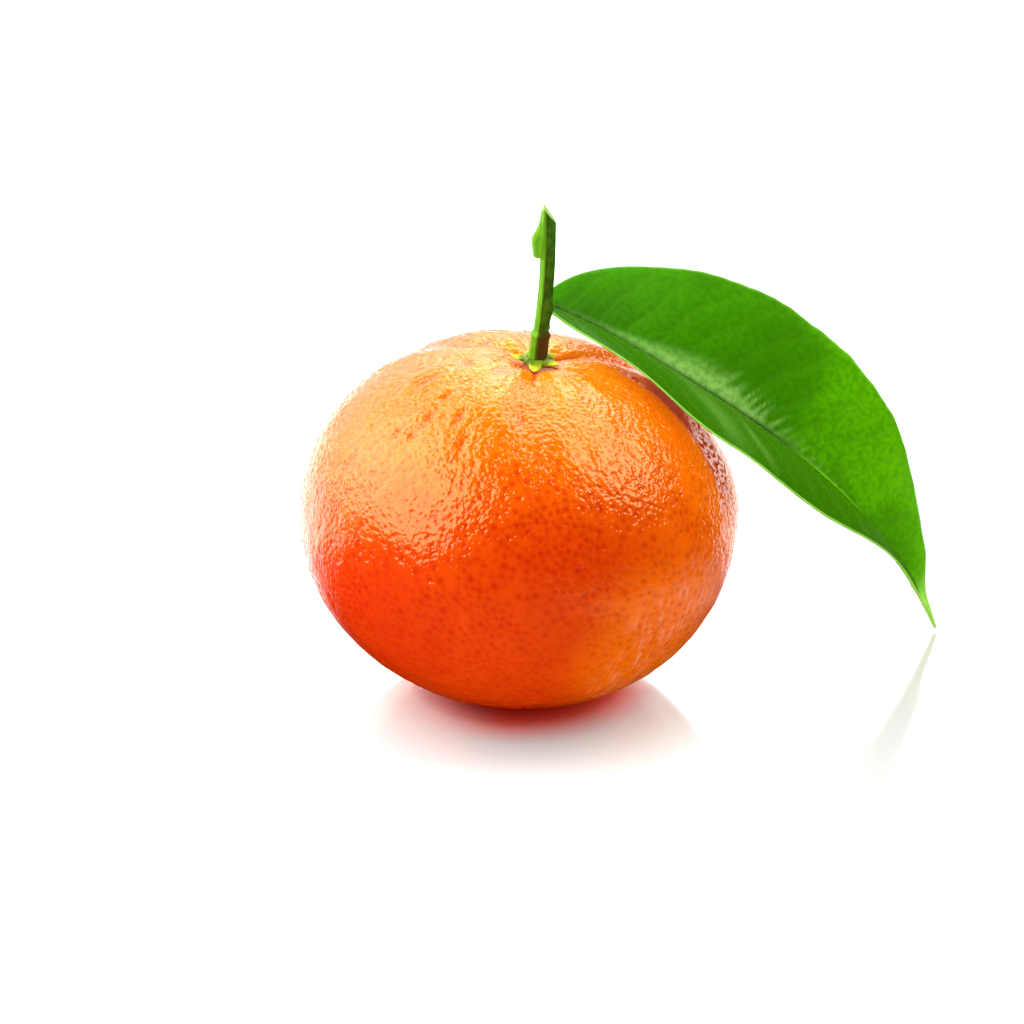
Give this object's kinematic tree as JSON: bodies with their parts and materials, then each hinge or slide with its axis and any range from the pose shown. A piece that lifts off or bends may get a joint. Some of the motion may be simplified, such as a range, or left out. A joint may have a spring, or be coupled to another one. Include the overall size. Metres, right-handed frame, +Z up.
{
  "type": "whole mandarin",
  "caption": "Whole ripe mandarin with its calyx, a short cut stalk and one folded green leaf that arches over one side and hangs down to the surface.",
  "frame": {"origin": "centre of the small flat spot that the fruit rests on, under the middle of the fruit", "axes": "+Z up from the surface, +X towards the hanging leaf, +Y towards the back of the fruit"},
  "size_m": [0.0899, 0.06, 0.0702],
  "materials": {
    "peel": "satin",
    "calyx": "satin",
    "stalk": "satin",
    "leaf_stalk": "satin",
    "leaf": "satin"
  },
  "bodies": {
    "root": {"fruit": "peel", "calyx": "calyx", "stalk": "stalk", "leaf_stalk": "leaf_stalk", "leaf_blade": "leaf"}
  },
  "joints": []
}
